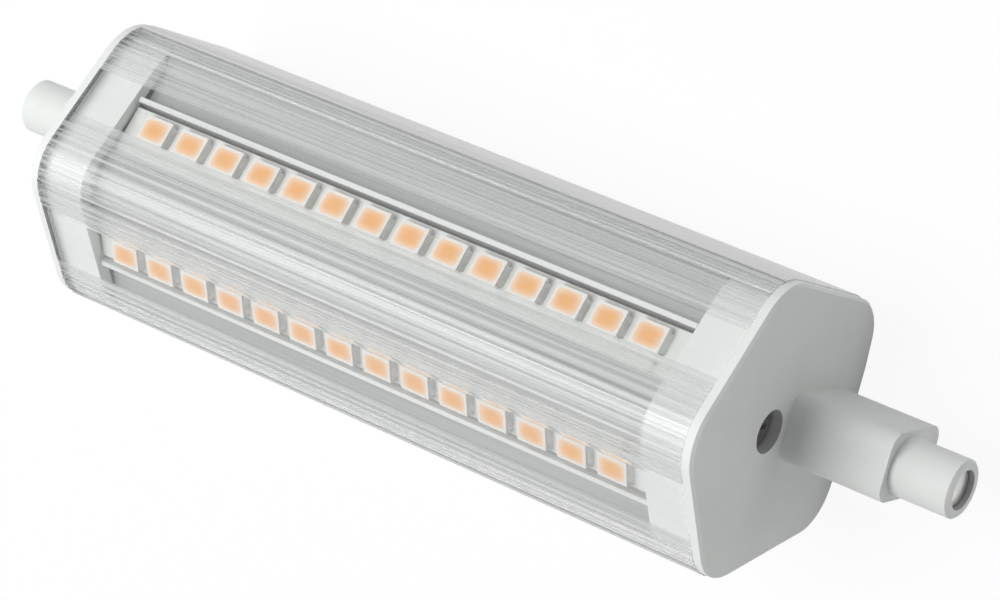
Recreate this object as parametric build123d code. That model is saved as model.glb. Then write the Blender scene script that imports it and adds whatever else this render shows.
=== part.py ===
from build123d import *
import os
from math import atan2, cos, degrees, pi, radians, sin

# Double-ended linear LED lamp with a five-sided body and a clear fluted cover.
# Millimetres. X runs along the contact axis, Y across the lamp, Z from the flat back to the ridge.
# The origin lies on the resting plane, under the middle of the lamp. Sections are drawn about
# the contact axis as (Y, Z) and are lifted by axis_height when they are written.

# Overall lengths
overall_length = 118.0
contact_length = 116.8
body_length = 82.8
cap_flange = 1.2

# Outer section, as sharp corners and the radii that round them
ridge_z = 22.3
shoulder_y = 15.7
shoulder_z = 11.0
corner_y = 11.7
corner_z = -9.4
back_z = -10.1
back_land = 10.0
ridge_radius = 5.4
shoulder_radius = 6.3
corner_radius = 5.2

# Clear cover
cover_wall = 1.3
seam_z = 9.6
flute_pitch = 0.95
flute_depth = 0.07
flute_radius = 1.4
ridge_flute_reach = 5.1
window_width = 7.7
seam_margin = 0.5
tongue_thickness = 0.7
tongue_depth = 1.3
tongue_gap = 0.1
tongue_inset = 0.7

# Housing
housing_wall = 1.4
ledge_inner_y = 11.5
ledge_depth = 2.4
groove_pitch = 2.4
groove_width = 1.0
groove_depth = 0.4
groove_count = 4

# Heat sink
sink_gap = 0.3
seat_angle = 28.0
sink_wall = 1.5
stop_height = 0.35
stop_width = 0.8
crown_radius = 6.0
slot_width = 0.45
slot_depth = 0.9
lip_width = 0.55
lip_height = 0.5
foot_width = 1.6
foot_height = 0.8
foot_gap = 0.4
port_z = 7.0
port_wall = 1.3
port_web = 1.5

# LED boards and packages
board_thickness = 1.0
board_width = 5.3
led_centre_offset = 3.4
led_centre_along = -1.5
led_end_margin = 1.5
led_pitch = 4.74
led_length = 3.4
led_width = 2.8
led_height = 0.8
lens_length = 2.9
lens_width = 2.2
lens_depth = 0.35
lens_corner = 0.35
solder_length = 0.4
solder_width = 2.2
solder_height = 0.45

# End caps
collar_depth = 5.2
collar_wall = 1.4
fit_gap = 0.15
rim_edge = 0.3
boss_width = 7.1
boss_top = 3.75
boss_bottom = -6.0
boss_corner = 1.8
boss_end = 52.5
boss_wall = 1.4
nose_radius = 3.0
nose_edge = 0.25
recess_radius = 2.05
button_thickness = 0.9
button_gap = 0.2
stem_radius = 1.0
stem_gap = 0.05
stem_tail = 6.5

# Cap screws
screw_recess_radius = 2.25
screw_recess_depth = 2.9
screw_head_radius = 2.05
screw_head_height = 1.7
screw_shank_radius = 1.3
screw_hole_gap = 0.15
screw_length = 9.0
driver_slot_length = 2.6
driver_slot_width = 0.55
driver_slot_depth = 0.7
tube_wall = 1.1

# Driver board and what stands on it
driver_gap = 2.0
driver_width = 21.0
driver_thickness = 1.2
driver_z = -5.7
rail_thickness = 0.8
rail_reach = 1.3
rail_gap = 0.15
film_overhang = 0.5
film_gap = 0.2
film_thickness = 0.3
capacitor_radius = 4.0
capacitor_length = 16.0
capacitor_edge = 0.4
bead_place = 2.0
bead_length = 0.8
bead_depth = 0.35
capacitor_at = (-17.0, -4.6)
film_block = (10.0, 4.5, 8.0)
film_block_at = (-18.0, 5.6)
film_block_edge = 0.5
core_size = (10.0, 11.0, 7.6)
core_at = (3.0, 0.0)
core_wall = 1.4
core_post = 3.6
core_side = 1.8
coil_gap = 0.1
coil_overhang = 1.8
coil_corner = 1.6
chip_size = (4.9, 3.9, 1.6)
chip_at = (14.5, -4.0)
rectifier_size = (6.5, 5.0, 2.2)
rectifier_at = (23.5, 4.5)
varistor_radius = 3.5
varistor_thickness = 3.2
varistor_at = (15.5, 5.5)
resistor_radius = 1.4
resistor_length = 6.5
resistor_at = (24.0, -4.5)

# Wires
wire_radius = 0.6
mains_wire_margin = 1.5
led_wire_radius = 0.35
led_wire_margin = 1.0
led_wire_along = -3.9
led_wire_hole_gap = 0.1
solder_dome_radius = 0.65
solder_dome = 0.35
solder_taper = 30

# Worked out from the sizes above
axis_height = -back_z
body_end = body_length / 2
seam_x = body_end - cap_flange
collar_x = seam_x - collar_depth
sink_end = collar_x - sink_gap
sink_length = 2 * sink_end
led_room = sink_length - 2 * led_end_margin - led_length
led_count = int(led_room / led_pitch) + 1
driver_length = 2 * (collar_x - driver_gap)
led_wire_x = driver_length / 2 - led_wire_margin
tip_x = overall_length / 2
contact_x = contact_length / 2
led_wire_hole_radius = led_wire_radius + led_wire_hole_gap
face_angle = atan2(ridge_z - shoulder_z, shoulder_y)
face_distance = ridge_z * cos(face_angle)
side_angle = pi / 2 + atan2(shoulder_y - corner_y, shoulder_z - corner_z)
side_distance = shoulder_y * sin(side_angle) + shoulder_z * cos(side_angle)
seat_tilt = radians(seat_angle)
board_inner_along = led_centre_along - led_centre_offset
board_outer_along = board_inner_along + board_width
lip_along = board_outer_along + slot_width


def centre_inside(angle_a, distance_a, angle_b, distance_b, radius):
    """The centre of the circle that rounds the corner between two faces of the section."""
    a = distance_a - radius
    b = distance_b - radius
    spread = sin(angle_b - angle_a)
    y = (cos(angle_a) * b - cos(angle_b) * a) / spread
    z = (sin(angle_b) * a - sin(angle_a) * b) / spread
    return y, z


def outline(inset=0.0):
    """The five-sided body section, drawn inwards by inset."""
    half_land = back_land / 2
    right = [(shoulder_y, shoulder_z), (corner_y, corner_z), (half_land, back_z)]
    left = [(-y, z) for y, z in reversed(right)]
    face = make_face(Polyline((0, ridge_z), *right, *left, close=True))
    rounds = {
        ridge_radius: lambda v: v.Y > ridge_z - 0.1,
        shoulder_radius: lambda v: abs(v.Y - shoulder_z) < 0.1,
        corner_radius: lambda v: abs(abs(v.X) - corner_y) < 0.1 and v.Y < 0,
    }
    for radius, chosen in rounds.items():
        face = fillet(face.vertices().filter_by(chosen), radius)
    if inset > 0:
        face = offset(face, amount=-inset, kind=Kind.INTERSECTION)
    return face


def along_x(section, x_start, x_end):
    """A section about the contact axis, drawn out from x_start to x_end."""
    return extrude(Plane.YZ.offset(x_start) * section, amount=x_end - x_start)


def band(z_low, z_high):
    """A wide strip of the section plane between two heights."""
    return Pos(0, (z_low + z_high) / 2) * Rectangle(4 * shoulder_y, z_high - z_low)


def box_section(y_low, y_high, z_low, z_high):
    """A rectangle in the section plane, given by its edges."""
    centre = Pos((y_low + y_high) / 2, (z_low + z_high) / 2)
    return centre * Rectangle(y_high - y_low, z_high - z_low)


def both_sides(section):
    """A section and its mirror image across the lamp's middle plane."""
    return section + mirror(section, about=Plane.YZ)


def cover_point(arc):
    """A point on the outer section at a distance from the ridge, and the way it faces."""
    top_z = (face_distance - ridge_radius) / cos(face_angle)
    round_arc = ridge_radius * face_angle
    shoulder = centre_inside(face_angle, face_distance, side_angle, side_distance, shoulder_radius)
    tangent_y = shoulder[0] + shoulder_radius * sin(face_angle)
    flat_arc = (tangent_y - ridge_radius * sin(face_angle)) / cos(face_angle)
    reach = abs(arc)
    if reach <= round_arc:
        facing = reach / ridge_radius
        y = ridge_radius * sin(facing)
        z = top_z + ridge_radius * cos(facing)
    elif reach <= round_arc + flat_arc:
        facing = face_angle
        y = ridge_radius * sin(facing) + (reach - round_arc) * cos(facing)
        z = top_z + ridge_radius * cos(facing) - (reach - round_arc) * sin(facing)
    else:
        facing = face_angle + (reach - round_arc - flat_arc) / shoulder_radius
        y = shoulder[0] + shoulder_radius * sin(facing)
        z = shoulder[1] + shoulder_radius * cos(facing)
    side = 1 if arc >= 0 else -1
    return side * y, z, side * facing


def flute_arcs():
    """Where the flutes lie, as distances round the section from the ridge."""
    ridge_steps = int(ridge_flute_reach / flute_pitch)
    arcs = [step * flute_pitch for step in range(-ridge_steps, ridge_steps + 1)]
    reach = ridge_flute_reach + window_width
    while cover_point(reach)[1] > seam_z + seam_margin:
        arcs += [reach, -reach]
        reach += flute_pitch
    return arcs


def seat_reach():
    """How far each seat plane is from the contact axis, so that it meets the middle of its foot."""
    y = foot_edge_y() - foot_width / 2
    z = seam_z + foot_height / 2
    return y * sin(seat_tilt) + z * cos(seat_tilt)


def light_cover():
    """The clear cover: a fluted extrusion with a smooth window over each row of LEDs."""
    shell = (outline() - outline(cover_wall)) & band(seam_z, ridge_z)
    seam_y = cover_edge_y()
    tongue = box_section(
        seam_y - tongue_inset - tongue_thickness,
        seam_y - tongue_inset,
        seam_z - tongue_depth,
        seam_z,
    )
    section = shell + both_sides(tongue)
    for arc in flute_arcs():
        y, z, facing = cover_point(arc)
        lift = flute_radius - flute_depth
        section -= Pos(y + lift * sin(facing), z + lift * cos(facing)) * Circle(flute_radius)
    return along_x(section, -seam_x, seam_x)


def cover_edge_y():
    """How far the outer face of the cover's edge is from the middle plane."""
    centre_y, centre_z = centre_inside(
        face_angle, face_distance, side_angle, side_distance, shoulder_radius
    )
    rise = seam_z - centre_z
    return centre_y + (shoulder_radius**2 - rise**2) ** 0.5


def rails(grow=0.0):
    """The ribs inside the housing that hold the driver board, drawn larger by grow."""
    inner_y = driver_width / 2 - rail_reach
    lower = box_section(
        inner_y - grow, shoulder_y, driver_z - rail_thickness - grow, driver_z + grow
    )
    upper_z = driver_z + driver_thickness + rail_gap
    upper = box_section(inner_y - grow, shoulder_y, upper_z - grow, upper_z + rail_thickness + grow)
    return both_sides(lower + upper)


def ledges(grow=0.0):
    """The ledges inside the housing that hold the cover and the heat sink, larger by grow."""
    ledge = box_section(ledge_inner_y - grow, shoulder_y, seam_z - ledge_depth - grow, seam_z + grow)
    return both_sides(ledge)


def housing():
    """The extruded housing: sides, back, grooves for the cover and rails for the driver."""
    wall = (outline() - outline(housing_wall)) & band(back_z, seam_z)
    section = wall + ((ledges() + rails()) & outline(housing_wall / 2))
    seam_y = cover_edge_y()
    groove = box_section(
        seam_y - tongue_inset - tongue_thickness - tongue_gap,
        seam_y - tongue_inset + tongue_gap,
        seam_z - tongue_depth - tongue_gap,
        seam_z,
    )
    section -= both_sides(groove)
    first = -(groove_count - 1) / 2
    for step in range(groove_count):
        y = (first + step) * groove_pitch
        section -= box_section(
            y - groove_width / 2, y + groove_width / 2, back_z, back_z + groove_depth
        )
    return along_x(section, -seam_x, seam_x)


def heat_sink():
    """The extruded heat sink: two sloping seats, their lips, feet and the screw port."""
    seat = Rot(0, 0, -seat_angle) * Pos(0, seat_reach())
    plate_end = seat_end_along()
    start = board_inner_along - stop_width
    plate = seat * box_section(start, plate_end, -sink_wall, 0)
    stop = seat * box_section(start, board_inner_along, 0, board_thickness + stop_height)
    lip = seat * box_section(lip_along, lip_along + lip_width, -sink_wall, board_thickness + lip_height)
    slot = seat * box_section(board_outer_along, lip_along, -slot_depth, 0)
    foot_y = foot_edge_y()
    foot = box_section(foot_y - foot_width, foot_y, seam_z, seam_z + foot_height)
    notch = box_section(ledge_inner_y - fit_gap, shoulder_y, 0, seam_z)
    wing = plate + stop + lip + foot - slot - notch
    crown_y, crown_z = seat_point(start, board_thickness + stop_height)
    crown = Pos(0, crown_top() - crown_radius) * Circle(crown_radius)
    crown &= box_section(-crown_y, crown_y, crown_floor(), ridge_z)
    port = Pos(0, port_z) * Circle(screw_shank_radius + port_wall)
    web = box_section(-port_web / 2, port_web / 2, port_z, crown_floor() + sink_wall)
    bore = Pos(0, port_z) * Circle(screw_shank_radius)
    section = both_sides(wing) + crown + port + web - bore
    sink = along_x(section, -sink_end, sink_end)
    for side in (1, -1):
        drill = wire_hole(side, led_wire_hole_radius)
        sink -= drill
    return sink


def seat_point(along, above, side=1):
    """A point given by its place down the seat and its height above it, as (Y, Z)."""
    reach = seat_reach() + above
    y = reach * sin(seat_tilt) + along * cos(seat_tilt)
    z = reach * cos(seat_tilt) - along * sin(seat_tilt)
    return side * y, z


def foot_edge_y():
    """How far the heat sink's foot reaches out, just clear of the cover's tongue."""
    return cover_edge_y() - tongue_inset - tongue_thickness - foot_gap


def seat_end_along():
    """How far down the slope the seat plate runs before it meets its foot."""
    inner_y = foot_edge_y() - foot_width / 2
    return (inner_y - seat_reach() * sin(seat_tilt)) / cos(seat_tilt)


def crown_top():
    """The height of the crown, which joins the tops of the two board stops."""
    y, z = seat_point(board_inner_along - stop_width, board_thickness + stop_height)
    return z + crown_radius - (crown_radius**2 - y**2) ** 0.5


def crown_floor():
    """The height of the underside of the crown."""
    return seat_point(board_inner_along - stop_width, -sink_wall)[1]


def wire_hole(side, radius):
    """The upright hole through a board and its seat that an LED wire comes up through."""
    y, z = seat_point(led_wire_along, board_thickness, side)
    depth = 2 * (sink_wall + board_thickness)
    return Pos(led_wire_x, y, z) * Cylinder(radius, 2 * depth)


def seat_plane(side, along, above, x=0.0):
    """The plane of a seat: local x along the lamp, local y down the slope for the right row."""
    y, z = seat_point(along, above, side)
    normal = (0, side * sin(seat_tilt), cos(seat_tilt))
    return Plane(origin=(x, y, z), x_dir=(1, 0, 0), z_dir=normal)


def led_board(side):
    """One white LED board with the hole for its wire."""
    place = seat_plane(side, board_inner_along + board_width / 2, board_thickness / 2)
    board = place * Box(sink_length, board_width, board_thickness)
    return board - wire_hole(side, led_wire_hole_radius)


def led_places(side, above):
    """The planes of the LEDs of one row, at a height above the seat."""
    first = -(led_count - 1) / 2
    return [
        seat_plane(side, led_centre_along, above, (first + step) * led_pitch)
        for step in range(led_count)
    ]


def led_package():
    """One LED package, with its cavity, standing on its local plane."""
    base = (Align.CENTER, Align.CENTER, Align.MIN)
    body = Box(led_length, led_width, led_height, align=base)
    return body - led_lens()


def led_lens():
    """The phosphor that fills a package's cavity."""
    face = Rectangle(lens_length, lens_width)
    face = chamfer(face.vertices(), lens_corner)
    return Pos(0, 0, led_height - lens_depth) * extrude(face, amount=lens_depth)


def solder_joint():
    """The solder wedges at the two ends of a package."""
    half = led_length / 2
    wedge = Polyline((half, 0), (half + solder_length, 0), (half, solder_height), close=True)
    section = Plane.XZ * make_face(wedge)
    joint = Pos(0, solder_width / 2, 0) * extrude(section, amount=solder_width)
    return Compound([joint.solid(), mirror(joint, about=Plane.YZ).solid()])


def end_cap():
    """The moulded end cap of the right-hand end: flange, collar, screw tube, boss and nose."""
    flange = along_x(outline(fit_gap), seam_x, body_end)
    rim = flange.faces().sort_by(Axis.X)[-1].edges()
    flange = chamfer(rim, rim_edge)
    collar_outer = outline(max(cover_wall, housing_wall) + fit_gap)
    collar_inner = outline(max(cover_wall, housing_wall) + fit_gap + collar_wall)
    ring = collar_outer - collar_inner - ledges(fit_gap) - rails(fit_gap)
    collar = along_x(ring, collar_x, seam_x)
    tube_outer = screw_recess_radius + tube_wall
    tube = along_x(Pos(0, port_z) * Circle(tube_outer), sink_end, seam_x)
    boss_height = boss_top - boss_bottom
    boss_z = (boss_top + boss_bottom) / 2
    block = Pos(0, boss_z) * RectangleRounded(boss_width, boss_height, boss_corner)
    boss = along_x(block, body_end, boss_end)
    nose = along_x(Circle(nose_radius), boss_end, tip_x)
    nose = chamfer(nose.faces().sort_by(Axis.X)[-1].edges(), nose_edge)
    pocket_width = boss_width - 2 * boss_wall
    pocket_height = boss_height - 2 * boss_wall
    hollow = Pos(0, boss_z) * Rectangle(pocket_width, pocket_height)
    pocket = along_x(hollow, collar_x, boss_end - boss_wall)
    recess = along_x(Circle(recess_radius), contact_x - button_thickness, tip_x)
    bore = along_x(Circle(stem_radius + stem_gap), boss_end - boss_wall, tip_x)
    counterbore = along_x(
        Pos(0, port_z) * Circle(screw_recess_radius), body_end - screw_recess_depth, body_end
    )
    screw_hole = along_x(
        Pos(0, port_z) * Circle(screw_shank_radius + screw_hole_gap), sink_end, body_end
    )
    cap = flange + collar + tube + boss + nose
    return cap - pocket - recess - bore - counterbore - screw_hole


def contact():
    """The metal contact of the right-hand end: a button in the recess and its stem."""
    disc = Circle(recess_radius - button_gap)
    button = along_x(disc, contact_x - button_thickness, contact_x)
    stem_end = boss_end - boss_wall - stem_tail
    stem = along_x(Circle(stem_radius), stem_end, contact_x - button_thickness)
    return button + stem


def cap_screw():
    """The screw that holds the right-hand cap to the heat sink's port."""
    seat_x = body_end - screw_recess_depth
    head = along_x(Circle(screw_head_radius), seat_x, seat_x + screw_head_height)
    slot = Rectangle(driver_slot_length, driver_slot_width)
    cross = slot + Rot(0, 0, 90) * slot
    slot_start = seat_x + screw_head_height - driver_slot_depth
    head -= along_x(cross, slot_start, seat_x + screw_head_height)
    shank = along_x(Circle(screw_shank_radius), seat_x - screw_length, seat_x)
    return Pos(0, 0, port_z) * (head + shank)


def driver_board():
    """The driver circuit board, which slides between the housing's rails."""
    base = (Align.CENTER, Align.CENTER, Align.MIN)
    return Pos(0, 0, driver_z) * Box(driver_length, driver_width, driver_thickness, align=base)


def insulating_film():
    """The insulating film under the driver board, between the lower rails."""
    length = driver_length + 2 * film_overhang
    width = driver_width - 2 * rail_reach - 2 * film_gap
    film = standing_box((length, width, film_thickness))
    return Pos(0, 0, driver_z - film_thickness) * film


def on_driver(at, shape):
    """A shape set down on the driver board at (X, Y)."""
    return Pos(at[0], at[1], driver_z + driver_thickness) * shape


def standing_box(size):
    """A box that stands on its local plane."""
    return Box(*size, align=(Align.CENTER, Align.CENTER, Align.MIN))


def capacitor():
    """The electrolytic capacitor lying on the driver board, with its rolled groove."""
    can = extrude(Plane.YZ * Circle(capacitor_radius), amount=capacitor_length)
    can = chamfer(can.faces().sort_by(Axis.X)[-1].edges(), capacitor_edge)
    bead = Plane.YZ * (Circle(capacitor_radius) - Circle(capacitor_radius - bead_depth))
    can -= Pos(bead_place, 0, 0) * extrude(bead, amount=bead_length)
    return on_driver(capacitor_at, Pos(-capacitor_length / 2, 0, capacitor_radius) * can)


def film_capacitor():
    """The moulded film capacitor."""
    block = standing_box(film_block)
    block = chamfer(block.edges().filter_by(Axis.Z), film_block_edge)
    return on_driver(film_block_at, block)


def transformer_core():
    """The ferrite core of the transformer, with a window each side of its centre post."""
    length, width, height = core_size
    opening = standing_box((length, width - 2 * core_side, height - 2 * core_wall))
    post = standing_box((length, core_post, height))
    core = standing_box(core_size) - Pos(0, 0, core_wall) * opening + post
    return on_driver(core_at, core)


def transformer_coil():
    """The winding that goes round the core's centre post and through both windows."""
    length, width, height = core_size
    outer_width = width - 2 * core_side - 2 * coil_gap
    outer = RectangleRounded(length + 2 * coil_overhang, outer_width, coil_corner)
    inner = Rectangle(length + 2 * coil_gap, core_post + 2 * coil_gap)
    coil = extrude(outer - inner, amount=height - 2 * core_wall - 2 * coil_gap)
    return on_driver(core_at, Pos(0, 0, core_wall + coil_gap) * coil)


def resistor():
    """The fusible resistor, lying on the board."""
    body = extrude(Plane.YZ * Circle(resistor_radius), amount=resistor_length)
    return on_driver(resistor_at, Pos(-resistor_length / 2, 0, resistor_radius) * body)


def varistor():
    """The disc varistor, standing on its edge."""
    disc = extrude(Plane.YZ * Circle(varistor_radius), amount=varistor_thickness)
    return on_driver(varistor_at, Pos(-varistor_thickness / 2, 0, varistor_radius) * disc)


def mains_wire():
    """The straight wire from the right-hand contact's stem down to the driver board's end."""
    stem_end = boss_end - boss_wall - stem_tail
    board_top = driver_z + driver_thickness
    foot_x = driver_length / 2 - mains_wire_margin
    run_x = stem_end - foot_x
    run_z = -board_top
    lean = degrees(atan2(run_x, run_z))
    length = 2 * (run_x**2 + run_z**2) ** 0.5
    middle = Pos((stem_end + foot_x) / 2, 0, board_top / 2)
    reach = box_section(-boss_width / 2, boss_width / 2, board_top, wire_radius)
    return middle * Rot(0, lean, 0) * Cylinder(wire_radius, length) & along_x(reach, 0, stem_end)


def led_wire(side):
    """The wire from the driver board straight up to an LED board, with its solder dome."""
    board_top = driver_z + driver_thickness
    y, z = seat_point(led_wire_along, board_thickness, side)
    wire = Pos(led_wire_x, y, board_top) * extrude(Circle(led_wire_radius), amount=z - board_top)
    place = seat_plane(side, led_wire_along, board_thickness, led_wire_x)
    dome = extrude(Circle(solder_dome_radius), amount=solder_dome, taper=solder_taper)
    return wire + place * dome


def write(name, shape):
    """Lift a shape from the contact axis to the resting frame and write it."""
    export_step(Pos(0, 0, axis_height) * shape, f"parts/{name}.step")


def turned(shape):
    """The same piece at the other end of the lamp, turned half round."""
    return Rot(0, 0, 180) * shape


os.makedirs("parts", exist_ok=True)

write("light_cover", light_cover())
write("housing", housing())
write("heat_sink", heat_sink())

for name, piece in (
    ("end_cap", end_cap()),
    ("contact", contact()),
    ("mains_wire", mains_wire()),
):
    write(f"{name}_right", piece)
    write(f"{name}_left", turned(piece))

screws = [cap_screw().solid(), turned(cap_screw()).solid()]
write("cap_screws", Compound(screws))

for row, side in (("upper", 1), ("lower", -1)):
    write(f"led_board_{row}", led_board(side))
    write(f"led_wire_{row}", led_wire(side))
    places = led_places(side, board_thickness)
    for number, place in enumerate(places, start=1):
        write(f"led_{row}_{number:02d}", place * led_package())
    write(f"phosphor_{row}", Compound([(place * led_lens()).solid() for place in places]))
    joints = [solid for place in places for solid in (place * solder_joint()).solids()]
    write(f"solder_{row}", Compound(joints))

write("driver_board", driver_board())
write("insulating_film", insulating_film())
write("capacitor", capacitor())
write("film_capacitor", film_capacitor())
write("transformer_core", transformer_core())
write("transformer_coil", transformer_coil())
write("control_chip", on_driver(chip_at, standing_box(chip_size)))
write("rectifier", on_driver(rectifier_at, standing_box(rectifier_size)))
write("varistor", varistor())
write("fuse_resistor", resistor())
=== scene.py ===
from functools import partial
from math import cos, radians, sin

import bpy
from mathutils import Matrix, Vector


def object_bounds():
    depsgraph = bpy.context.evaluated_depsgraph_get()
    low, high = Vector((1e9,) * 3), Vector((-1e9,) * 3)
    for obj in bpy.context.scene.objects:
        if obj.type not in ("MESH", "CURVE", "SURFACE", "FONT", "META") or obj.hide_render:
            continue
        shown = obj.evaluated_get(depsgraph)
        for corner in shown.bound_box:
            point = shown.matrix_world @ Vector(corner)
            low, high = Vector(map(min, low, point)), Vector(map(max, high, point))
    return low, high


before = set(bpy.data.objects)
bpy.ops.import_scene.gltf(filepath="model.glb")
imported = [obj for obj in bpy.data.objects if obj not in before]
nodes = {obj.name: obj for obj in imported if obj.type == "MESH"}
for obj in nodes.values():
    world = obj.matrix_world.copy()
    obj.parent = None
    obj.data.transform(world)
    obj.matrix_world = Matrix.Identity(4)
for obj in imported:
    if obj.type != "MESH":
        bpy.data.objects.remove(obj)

cad_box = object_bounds()

# The camera, found from the lamp's edges and LED rows in the photograph, in metres in the CAD frame
camera_place = (0.18416, 0.08634, 0.30776)
camera_right = (0.79879264, 0.24047151, -0.55145604)
camera_down = (0.33319346, -0.94005063, 0.07271132)
camera_forward = (-0.50091160, -0.24182281, -0.83102906)
focal_px = 3532.6
image_width_px = 1000
sensor_width_mm = 36.0

# Sizes of the CAD solids that the finishes follow, in metres. The contacts' axis is axis_height up. Places
# along a board's seat are measured down its slope, from the point of the seat that is nearest to this axis.
axis_height = 0.0101
seat_tilt = radians(28)
led_along = -0.0015
led_pitch = 0.00474
lens_half = (0.00145, 0.0011)
lip_along = (0.0008, 0.00145)
lip_above_axis = 0.005
cover_above_axis = 0.009
seam_x = 0.0402
cap_face_x = 0.0414
rim_edge = 0.0003
tip_x = 0.059
screw_height = 0.0171

# A face of a cap is in a recess when its middle lies within this radius and depth. A middle that lies within
# play of a boundary counts as on it.
screw_recess_radius = 0.0023
screw_recess_depth = 0.0032
contact_recess_radius = 0.0021
contact_recess_depth = 0.002
play = 0.0001

# Across the lamp, the cover is fluted in a band along its ridge and beyond its two windows, and it is smooth
# in the windows
ridge_band_y = 0.0006
ridge_band_half = 0.0049
window_end_y = 0.01045

# The share of light that the cover scatters everywhere, what its flutes add to that share and to its
# roughness, and how much of the draw lines' shade is left in the smooth windows
cover_haze = 0.02
flute_haze = 0.56
flute_roughness = 0.12
window_shade = 0.06

# How far the floor reaches to each side, and how far it lies under the lamp's flat back to stay clear of it
floor_half = 3.0
floor_drop = 0.0002

# How much of the floor's shading still shows in its white
floor_shading = 0.08


def make_camera():
    """The camera at the photograph's place, looking the way it looked."""
    data = bpy.data.cameras.new("camera")
    data.sensor_width = sensor_width_mm
    data.lens = focal_px / image_width_px * sensor_width_mm
    data.clip_start = 0.01
    data.clip_end = 10
    camera = bpy.data.objects.new("camera", data)
    bpy.context.scene.collection.objects.link(camera)
    right = Vector(camera_right)
    up = -Vector(camera_down)
    back = -Vector(camera_forward)
    turn = Matrix((right, up, back)).transposed()
    camera.matrix_world = Matrix.Translation(camera_place) @ turn.to_4x4()
    bpy.context.scene.camera = camera


def new_material(name):
    """A node material with a Principled shader, as (material, nodes, links, shader, output)."""
    material = bpy.data.materials.new(name)
    material.use_nodes = True
    tree = material.node_tree
    shader = tree.nodes["Principled BSDF"]
    output = tree.nodes["Material Output"]
    return material, tree.nodes, tree.links, shader, output


def noise_value(tree_nodes, links, scale, stretch=(1, 1, 1), detail=4.0, fineness=0.5):
    """The value of a noise texture in object space, stretched along chosen axes."""
    place = tree_nodes.new("ShaderNodeTexCoord")
    mapping = tree_nodes.new("ShaderNodeMapping")
    mapping.inputs["Scale"].default_value = stretch
    noise = tree_nodes.new("ShaderNodeTexNoise")
    noise.inputs["Scale"].default_value = scale
    noise.inputs["Detail"].default_value = detail
    noise.inputs["Roughness"].default_value = fineness
    links.new(place.outputs["Object"], mapping.inputs["Vector"])
    links.new(mapping.outputs["Vector"], noise.inputs["Vector"])
    return noise.outputs["Fac"]


def object_place(tree_nodes, links):
    """The X, Y and Z of the shaded point in object space."""
    place = tree_nodes.new("ShaderNodeTexCoord")
    split = tree_nodes.new("ShaderNodeSeparateXYZ")
    links.new(place.outputs["Object"], split.inputs["Vector"])
    return split.outputs["X"], split.outputs["Y"], split.outputs["Z"]


def tint_by(tree_nodes, links, value, dark, light, target, low=0.35, high=0.65):
    """Colours a socket between two tints, from the first at the low value to the second at the high one."""
    ramp = tree_nodes.new("ShaderNodeValToRGB")
    ramp.color_ramp.elements[0].position = low
    ramp.color_ramp.elements[0].color = (*dark, 1)
    ramp.color_ramp.elements[1].position = high
    ramp.color_ramp.elements[1].color = (*light, 1)
    links.new(value, ramp.inputs["Fac"])
    links.new(ramp.outputs["Color"], target)


def bump_by(tree_nodes, links, value, strength, distance, shader):
    """Raises a shader's surface by a value."""
    bump = tree_nodes.new("ShaderNodeBump")
    bump.inputs["Strength"].default_value = strength
    bump.inputs["Distance"].default_value = distance
    links.new(value, bump.inputs["Height"])
    links.new(bump.outputs["Normal"], shader.inputs["Normal"])


def math_node(tree_nodes, links, operation, first, second=None):
    """The result of a math node whose inputs are sockets or plain numbers."""
    node = tree_nodes.new("ShaderNodeMath")
    node.operation = operation
    for place, value in enumerate((first, second)):
        if isinstance(value, (int, float)):
            node.inputs[place].default_value = value
        elif value is not None:
            links.new(value, node.inputs[place])
    return node.outputs["Value"]


def map_range(tree_nodes, links, value, start=(0.0, 1.0), end=(0.0, 1.0)):
    """A value carried over from the start range to the end range, and held within it."""
    node = tree_nodes.new("ShaderNodeMapRange")
    node.inputs["From Min"].default_value = start[0]
    node.inputs["From Max"].default_value = start[1]
    node.inputs["To Min"].default_value = end[0]
    node.inputs["To Max"].default_value = end[1]
    links.new(value, node.inputs["Value"])
    return node.outputs["Result"]


def mix_shaders(tree_nodes, links, share, first, second):
    """The first shader with a share of the second in it."""
    mix = tree_nodes.new("ShaderNodeMixShader")
    links.new(share, mix.inputs["Fac"])
    links.new(first, mix.inputs[1])
    links.new(second, mix.inputs[2])
    return mix.outputs["Shader"]


def moulded_plastic(name, dark, light, roughness):
    """Opaque moulded plastic with a slight mottle and a fine grain."""
    material, tree_nodes, links, shader, _ = new_material(name)
    mottle = noise_value(tree_nodes, links, scale=90.0)
    tint_by(tree_nodes, links, mottle, dark, light, shader.inputs["Base Color"])
    grain = noise_value(tree_nodes, links, scale=1500.0)
    bump_by(tree_nodes, links, grain, strength=0.4, distance=0.00002, shader=shader)
    shader.inputs["Roughness"].default_value = roughness
    return material


def extruded_plastic(name, dark, light, roughness):
    """Opaque extruded plastic with draw lines along the lamp."""
    material, tree_nodes, links, shader, _ = new_material(name)
    lines = noise_value(tree_nodes, links, scale=60.0, stretch=(0.25, 40, 40), detail=3.0)
    tint_by(tree_nodes, links, lines, dark, light, shader.inputs["Base Color"])
    bump_by(tree_nodes, links, lines, strength=0.2, distance=0.00002, shader=shader)
    shader.inputs["Roughness"].default_value = roughness
    return material


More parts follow.
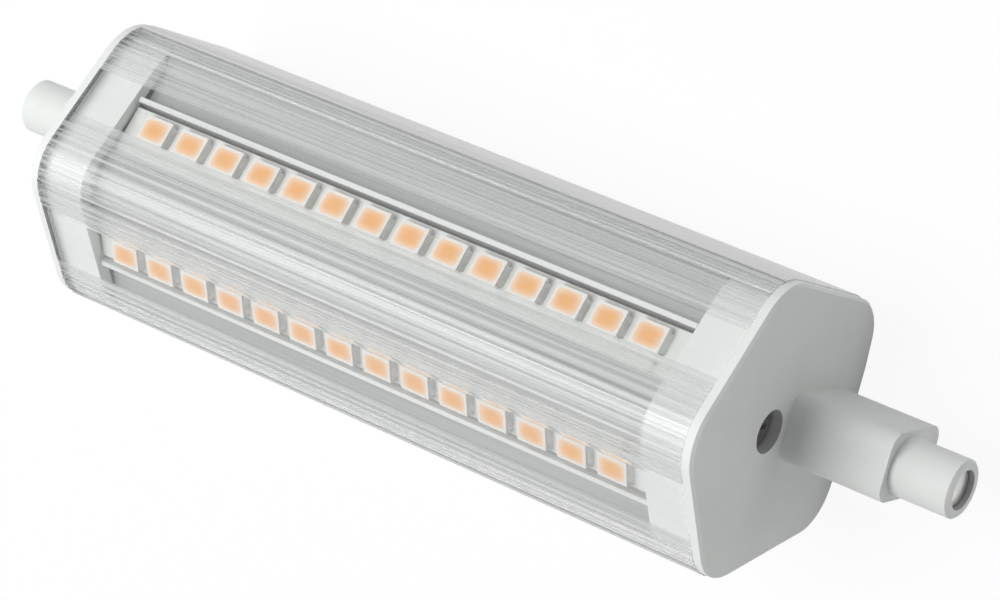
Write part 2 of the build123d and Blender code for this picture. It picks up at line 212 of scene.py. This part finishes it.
def clear_plastic():
    """Clear extruded plastic: hazy draw lines where it is fluted, and smooth over the LEDs."""
    material, tree_nodes, links, shader, output = new_material("clear_cover")
    maths = partial(math_node, tree_nodes, links)
    shader.inputs["Transmission Weight"].default_value = 1.0
    shader.inputs["IOR"].default_value = 1.5

    # 1 where the cover is fluted and 0 in its windows
    _, y, _ = object_place(tree_nodes, links)
    from_ridge = maths("ABSOLUTE", maths("SUBTRACT", y, ridge_band_y))
    past_ridge = maths("GREATER_THAN", from_ridge, ridge_band_half)
    before_end = maths("LESS_THAN", maths("ABSOLUTE", y), window_end_y)
    fluted = maths("SUBTRACT", 1.0, maths("MULTIPLY", past_ridge, before_end))

    # Fine draw lines, and broad ones that vary the polish
    lines = noise_value(tree_nodes, links, scale=60.0, stretch=(0.12, 36, 36), fineness=0.72)
    broad = noise_value(tree_nodes, links, scale=60.0, stretch=(0.4, 14, 14))

    # The lines are darker glass
    shade = map_range(tree_nodes, links, lines, start=(0.38, 0.52), end=(1.0, 0.0))
    kept = maths("ADD", maths("MULTIPLY", fluted, 1 - window_shade), window_shade)
    tint = tree_nodes.new("ShaderNodeMix")
    tint.data_type = "RGBA"
    tint.inputs["A"].default_value = (0.99, 0.995, 0.992, 1)
    tint.inputs["B"].default_value = (0.66, 0.67, 0.665, 1)
    links.new(maths("MULTIPLY", shade, kept), tint.inputs["Factor"])
    links.new(tint.outputs["Result"], shader.inputs["Base Color"])

    # The flutes are rougher and the lines stand out a little
    polish = map_range(tree_nodes, links, broad, end=(0.03, 0.1))
    roughness = maths("ADD", polish, maths("MULTIPLY", fluted, flute_roughness))
    links.new(roughness, shader.inputs["Roughness"])
    bump_by(tree_nodes, links, lines, strength=0.25, distance=0.00002, shader=shader)

    # The flutes scatter some light, between the darker lines
    haze = tree_nodes.new("ShaderNodeBsdfDiffuse")
    haze.inputs["Color"].default_value = (0.65, 0.66, 0.655, 1)
    veil = map_range(tree_nodes, links, lines, start=(0.43, 0.58))
    share = maths("MULTIPLY", maths("MULTIPLY", veil, fluted), flute_haze)
    share = maths("ADD", share, cover_haze)
    hazed = mix_shaders(tree_nodes, links, share, shader.outputs["BSDF"], haze.outputs["BSDF"])

    # Shadows, diffuse light and reflections pass straight through. What is seen through the cover bends.
    ray = tree_nodes.new("ShaderNodeLightPath")
    see_through = tree_nodes.new("ShaderNodeBsdfTransparent")
    see_through.inputs["Color"].default_value = (0.98, 0.985, 0.982, 1)
    light = maths("MAXIMUM", ray.outputs["Is Shadow Ray"], ray.outputs["Is Diffuse Ray"])
    reflected = maths("SUBTRACT", ray.outputs["Is Glossy Ray"], ray.outputs["Is Transmission Ray"])
    passing = maths("MAXIMUM", light, reflected)
    cover = mix_shaders(tree_nodes, links, passing, hazed, see_through.outputs["BSDF"])
    links.new(cover, output.inputs["Surface"])
    return material


def extruded_aluminium(name, dark, light, roughness):
    """Satin aluminium with the fine lines that run along an extrusion."""
    material, tree_nodes, links, shader, _ = new_material(name)
    lines = noise_value(tree_nodes, links, scale=70.0, stretch=(0.25, 22, 22), detail=6.0)
    tint_by(tree_nodes, links, lines, dark, light, shader.inputs["Base Color"])
    bump_by(tree_nodes, links, lines, strength=0.5, distance=0.00003, shader=shader)
    shader.inputs["Metallic"].default_value = 0.5
    shader.inputs["Roughness"].default_value = roughness
    return material


def metal(name, colour, roughness):
    """Plain metal with a fine uneven surface."""
    shade = 0.8
    material, tree_nodes, links, shader, _ = new_material(name)
    fine = noise_value(tree_nodes, links, scale=900.0)
    dark = tuple(shade * part for part in colour)
    tint_by(tree_nodes, links, fine, dark, colour, shader.inputs["Base Color"])
    bump_by(tree_nodes, links, fine, strength=0.5, distance=0.00003, shader=shader)
    shader.inputs["Metallic"].default_value = 1.0
    shader.inputs["Roughness"].default_value = roughness
    return material


def phosphor():
    """The warm fill of the LEDs: deep orange in the middle and paler towards the package's walls."""
    material, tree_nodes, links, shader, _ = new_material("phosphor")
    maths = partial(math_node, tree_nodes, links)
    x, y, z = object_place(tree_nodes, links)

    # How far the point lies from the middle of its LED, along the row and down the slope, in half sizes
    in_pitch = maths("SUBTRACT", maths("FRACT", maths("DIVIDE", x, led_pitch)), 0.5)
    in_row = maths("MULTIPLY", in_pitch, led_pitch / lens_half[0])
    side = maths("MULTIPLY", maths("ABSOLUTE", y), cos(seat_tilt) / lens_half[1])
    height = maths("MULTIPLY", maths("SUBTRACT", z, axis_height), sin(seat_tilt) / lens_half[1])
    down = maths("SUBTRACT", maths("SUBTRACT", side, height), led_along / lens_half[1])

    # Cubes of the two make the middle a rounded oblong, and noise makes its edge cloudy
    cloudiness = 0.35
    row_cubed = maths("POWER", maths("ABSOLUTE", in_row), 3)
    down_cubed = maths("POWER", maths("ABSOLUTE", down), 3)
    cloud = maths("MULTIPLY", noise_value(tree_nodes, links, scale=900.0), cloudiness)
    reach = maths("ADD", maths("ADD", row_cubed, down_cubed), cloud)
    middle, edge = (0.92, 0.455, 0.155), (0.95, 0.66, 0.46)
    tint_by(tree_nodes, links, reach, middle, edge, shader.inputs["Base Color"], low=0.15, high=1.0)
    shader.inputs["Roughness"].default_value = 0.35
    return material


def coated_board():
    """White solder mask over a board, with a little gloss."""
    material, tree_nodes, links, shader, _ = new_material("board_white")
    mottle = noise_value(tree_nodes, links, scale=400.0)
    dark, light = (0.7, 0.71, 0.69), (0.76, 0.77, 0.75)
    tint_by(tree_nodes, links, mottle, dark, light, shader.inputs["Base Color"])
    shader.inputs["Roughness"].default_value = 0.35
    return material


def with_start(*starts):
    """The names of the CAD nodes that start with any of the given words."""
    return [name for name in sorted(nodes) if name.startswith(starts)]


def paint(material, *starts):
    """Gives a material to the CAD nodes whose names start with any of the given words."""
    for name in with_start(*starts):
        mesh = nodes[name].data
        mesh.materials.clear()
        mesh.materials.append(material)
        for face in mesh.polygons:
            face.material_index = 0


def paint_some(material, name, chosen):
    """Gives the chosen faces of a CAD node a material of their own."""
    mesh = nodes[name].data
    mesh.materials.append(material)
    slot = len(mesh.materials) - 1
    for face in mesh.polygons:
        if chosen(face.center):
            face.material_index = slot


def on_lip(point):
    """Whether a point of the heat sink lies on one of the lips beside the boards."""
    above_axis = point.z - axis_height
    along = abs(point.y) * cos(seat_tilt) - above_axis * sin(seat_tilt)
    return lip_along[0] < along < lip_along[1] and above_axis > lip_above_axis


def under_cover(point):
    """Whether a point of an end cap lies on the part of its collar that the cover goes over."""
    return abs(point.x) < seam_x - play and point.z - axis_height > cover_above_axis


def on_rim(point):
    """Whether a point of an end cap lies on its flange, apart from the outer face and its chamfer."""
    return seam_x - play < abs(point.x) < cap_face_x - rim_edge


def in_screw_recess(point):
    """Whether a point of an end cap lies in its screw recess."""
    depth = cap_face_x - abs(point.x)
    from_axis = ((point.z - screw_height) ** 2 + point.y**2) ** 0.5
    return play < depth < screw_recess_depth and from_axis < screw_recess_radius


def in_contact_recess(point):
    """Whether a point of an end cap lies on the wall round its contact."""
    depth = tip_x - abs(point.x)
    from_axis = ((point.z - axis_height) ** 2 + point.y**2) ** 0.5
    return play < depth < contact_recess_depth and from_axis < contact_recess_radius


def dress():
    """Gives every CAD node its finish."""
    cap = moulded_plastic("cap_white", (0.75, 0.775, 0.755), (0.79, 0.815, 0.795), 0.55)
    # A lighter copy of the cap plastic, as painted light: it brightens the collar where the cover goes over
    # it and the flange's rim
    collar = moulded_plastic("cap_white_painted_light", (0.84, 0.86, 0.845), (0.88, 0.9, 0.885), 0.55)
    # A darker copy of the cap plastic, as painted shade on the walls of the screw and contact recesses
    shaded = moulded_plastic("recess_shade", (0.44, 0.445, 0.442), (0.52, 0.525, 0.522), 0.6)
    paint(cap, "end_cap")
    for name in with_start("end_cap"):
        paint_some(collar, name, under_cover)
        paint_some(collar, name, on_rim)
        paint_some(shaded, name, in_screw_recess)
        paint_some(shaded, name, in_contact_recess)

    paint(extruded_plastic("housing_white", (0.66, 0.675, 0.665), (0.86, 0.87, 0.865), 0.4), "housing")
    paint(clear_plastic(), "light_cover")
    paint(extruded_aluminium("sink_aluminium", (0.42, 0.43, 0.425), (0.55, 0.56, 0.555), 0.62), "heat_sink")
    # The lips beside the boards get a lighter copy of the heat sink's aluminium: a painted highlight on
    # their lit edges
    lip_painted_highlight = extruded_aluminium("aluminium_painted_highlight", (0.8, 0.81, 0.8), (0.95, 0.95, 0.94), 0.3)
    paint_some(lip_painted_highlight, "heat_sink", on_lip)

    paint(coated_board(), "led_board")
    paint(phosphor(), "phosphor")
    paint(metal("solder", (0.62, 0.62, 0.6), 0.45), "solder", "led_wire_lower")
    paint(metal("contact_metal", (0.92, 0.92, 0.9), 0.35), "contact")
    paint(metal("screw_steel", (0.5, 0.5, 0.5), 0.3), "cap_screws")

    # Moulded finishes: the name, two tints, the roughness and the starts of the nodes' names
    moulded = (
        ("led_body", (0.84, 0.81, 0.78), (0.88, 0.85, 0.82), 0.4, ("led_upper", "led_lower")),
        ("sealed_joint", (0.7, 0.71, 0.69), (0.76, 0.77, 0.75), 0.4, ("led_wire_upper",)),
        ("wire_sleeve", (0.78, 0.78, 0.76), (0.82, 0.82, 0.8), 0.5, ("mains",)),
        ("driver_laminate", (0.5, 0.46, 0.3), (0.58, 0.53, 0.36), 0.5, ("driver_board",)),
        ("film", (0.62, 0.5, 0.2), (0.68, 0.56, 0.25), 0.3, ("insulating_film",)),
        ("capacitor_sleeve", (0.02, 0.03, 0.05), (0.03, 0.04, 0.07), 0.3, ("capacitor",)),
        ("capacitor_case", (0.5, 0.3, 0.04), (0.56, 0.35, 0.06), 0.35, ("film_capacitor",)),
        ("ferrite", (0.03, 0.03, 0.033), (0.05, 0.05, 0.055), 0.6, ("transformer_core",)),
        ("winding", (0.6, 0.44, 0.06), (0.7, 0.52, 0.1), 0.3, ("transformer_coil",)),
        ("black_moulding", (0.015, 0.015, 0.015), (0.03, 0.03, 0.03), 0.5, ("control_chip", "rectifier")),
        ("disc_lacquer", (0.03, 0.09, 0.3), (0.05, 0.12, 0.36), 0.3, ("varistor",)),
        ("resistor_body", (0.1, 0.2, 0.12), (0.14, 0.26, 0.16), 0.4, ("fuse_resistor",)),
    )
    for name, dark, light, roughness, starts in moulded:
        paint(moulded_plastic(name, dark, light, roughness), *starts)


def show_white(tree_nodes, links, shaded, output, kept):
    """White where the camera, gloss or glass sees it; kept is how much of the shading still shows."""
    maths = partial(math_node, tree_nodes, links)
    ray = tree_nodes.new("ShaderNodeLightPath")
    white = tree_nodes.new("ShaderNodeEmission")
    white.inputs["Color"].default_value = (1, 1, 1, 1)
    seen = maths("MAXIMUM", ray.outputs["Is Camera Ray"], ray.outputs["Is Glossy Ray"])
    seen = maths("MAXIMUM", seen, ray.outputs["Is Transmission Ray"])
    share = maths("MULTIPLY", seen, 1 - kept)
    mixed = mix_shaders(tree_nodes, links, share, shaded, white.outputs["Emission"])
    links.new(mixed, output.inputs["Surface"])


def make_floor():
    """A wide pale floor that stays white behind the lamp and keeps a faint shadow."""
    mesh = bpy.data.meshes.new("floor")
    near, far = -floor_half, floor_half
    corners = [(near, near, 0), (far, near, 0), (far, far, 0), (near, far, 0)]
    mesh.from_pydata(corners, [], [(0, 1, 2, 3)])
    floor = bpy.data.objects.new("floor", mesh)
    floor.location.z = cad_box[0].z - floor_drop
    bpy.context.scene.collection.objects.link(floor)
    material, tree_nodes, links, shader, output = new_material("floor")
    shader.inputs["Base Color"].default_value = (0.92, 0.92, 0.92, 1)
    shader.inputs["Roughness"].default_value = 0.8
    show_white(tree_nodes, links, shader.outputs["BSDF"], output, kept=floor_shading)
    mesh.materials.append(material)


def make_world():
    """Soft light from all round, which the camera and gloss see as a brighter grey."""
    world = bpy.data.worlds.new("studio")
    world.use_nodes = True
    bpy.context.scene.world = world
    tree_nodes, links = world.node_tree.nodes, world.node_tree.links
    soft = tree_nodes["Background"]
    soft.inputs["Color"].default_value = (1, 1, 1, 1)
    soft.inputs["Strength"].default_value = 0.28
    bright = tree_nodes.new("ShaderNodeBackground")
    bright.inputs["Color"].default_value = (0.8, 0.8, 0.8, 1)
    bright.inputs["Strength"].default_value = 1.0
    ray = tree_nodes.new("ShaderNodeLightPath")
    seen = math_node(
        tree_nodes, links, "MAXIMUM", ray.outputs["Is Camera Ray"], ray.outputs["Is Glossy Ray"]
    )
    mixed = mix_shaders(tree_nodes, links, seen, soft.outputs["Background"], bright.outputs["Background"])
    links.new(mixed, tree_nodes["World Output"].inputs["Surface"])


def add_lamp(name, place, size, watts):
    """A rectangular soft lamp that faces the middle of the scene."""
    data = bpy.data.lights.new(name, "AREA")
    data.shape = "RECTANGLE"
    data.size, data.size_y = size
    data.energy = watts
    lamp = bpy.data.objects.new(name, data)
    lamp.location = place
    lamp.rotation_euler = (-Vector(place)).to_track_quat("-Z", "Y").to_euler()
    bpy.context.scene.collection.objects.link(lamp)
    return lamp


def make_lamps():
    """A large lamp above that gloss doesn't show, and a small strip that only gloss and glass show."""
    key = add_lamp("key", place=(-0.27, 0.005, 0.68), size=(0.5, 0.5), watts=4.85)
    key.visible_glossy = False
    strip = add_lamp("strip", place=(-0.39, 0.2, 0.67), size=(0.1, 0.3), watts=0.5)
    strip.visible_diffuse = False


make_camera()
make_floor()
make_world()
make_lamps()
dress()
bpy.context.scene.view_settings.view_transform = "Standard"
